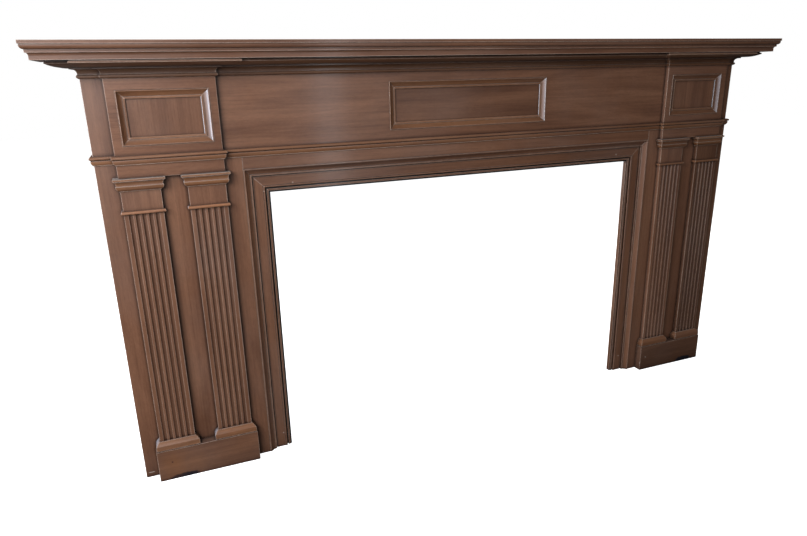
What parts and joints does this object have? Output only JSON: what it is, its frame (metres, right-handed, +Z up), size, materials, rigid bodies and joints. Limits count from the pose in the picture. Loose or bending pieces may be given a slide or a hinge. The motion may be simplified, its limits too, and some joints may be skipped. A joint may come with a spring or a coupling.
{
  "type": "fireplace mantel",
  "caption": "Classical fireplace mantel with moulded shelf, framed frieze, paired fluted pilasters, plinths and a moulded architrave round the fire opening.",
  "frame": {"origin": "on the floor at the middle of the bounding box's underside", "axes": "+X along the shelf to the right seen from the front, +Y back towards the wall, +Z up"},
  "size_m": [2.443, 0.191, 1.275],
  "materials": {
    "walnut_rails": "worn satin polish, grain along the rail",
    "walnut_stiles": "worn satin polish, upright grain",
    "walnut_mouldings": "worn satin polish, rubbed pale on the arrises"
  },
  "bodies": {
    "root": {"architrave_head": "walnut_rails", "architrave_jamb_left": "walnut_stiles", "architrave_jamb_right": "walnut_stiles", "astragal_left_inner": "walnut_mouldings", "astragal_left_outer": "walnut_mouldings", "astragal_right_inner": "walnut_mouldings", "astragal_right_outer": "walnut_mouldings", "base_left_inner": "walnut_mouldings", "base_left_outer": "walnut_mouldings", "base_right_inner": "walnut_mouldings", "base_right_outer": "walnut_mouldings", "bed_mould_centre": "walnut_mouldings", "bed_mould_left": "walnut_mouldings", "bed_mould_right": "walnut_mouldings", "block_frame_left_bottom": "walnut_mouldings", "block_frame_left_left": "walnut_mouldings", "block_frame_left_right": "walnut_mouldings", "block_frame_left_top": "walnut_mouldings", "block_frame_right_bottom": "walnut_mouldings", "block_frame_right_left": "walnut_mouldings", "block_frame_right_right": "walnut_mouldings", "block_frame_right_top": "walnut_mouldings", "block_left": "walnut_rails", "block_panel_left": "walnut_stiles", "block_panel_right": "walnut_stiles", "block_right": "walnut_rails", "capital_left_inner": "walnut_mouldings", "capital_left_outer": "walnut_mouldings", "capital_right_inner": "walnut_mouldings", "capital_right_outer": "walnut_mouldings", "centre_frame_bottom": "walnut_mouldings", "centre_frame_left": "walnut_mouldings", "centre_frame_right": "walnut_mouldings", "centre_frame_top": "walnut_mouldings", "centre_panel": "walnut_rails", "frieze_board": "walnut_rails", "head_rail": "walnut_rails", "leg_board_left": "walnut_stiles", "leg_board_right": "walnut_stiles", "lining_head": "walnut_rails", "lining_jamb_left": "walnut_stiles", "lining_jamb_right": "walnut_stiles", "necking_centre": "walnut_mouldings", "necking_left": "walnut_mouldings", "necking_right": "walnut_mouldings", "outer_strip_left": "walnut_stiles", "outer_strip_right": "walnut_stiles", "pilaster_left_inner": "walnut_stiles", "pilaster_left_outer": "walnut_stiles", "pilaster_right_inner": "walnut_stiles", "pilaster_right_outer": "walnut_stiles", "plinth_left": "walnut_rails", "plinth_right": "walnut_rails", "shelf_board": "walnut_rails", "shelf_underboard": "walnut_mouldings", "side_return_left": "walnut_stiles", "side_return_right": "walnut_stiles"}
  },
  "joints": []
}
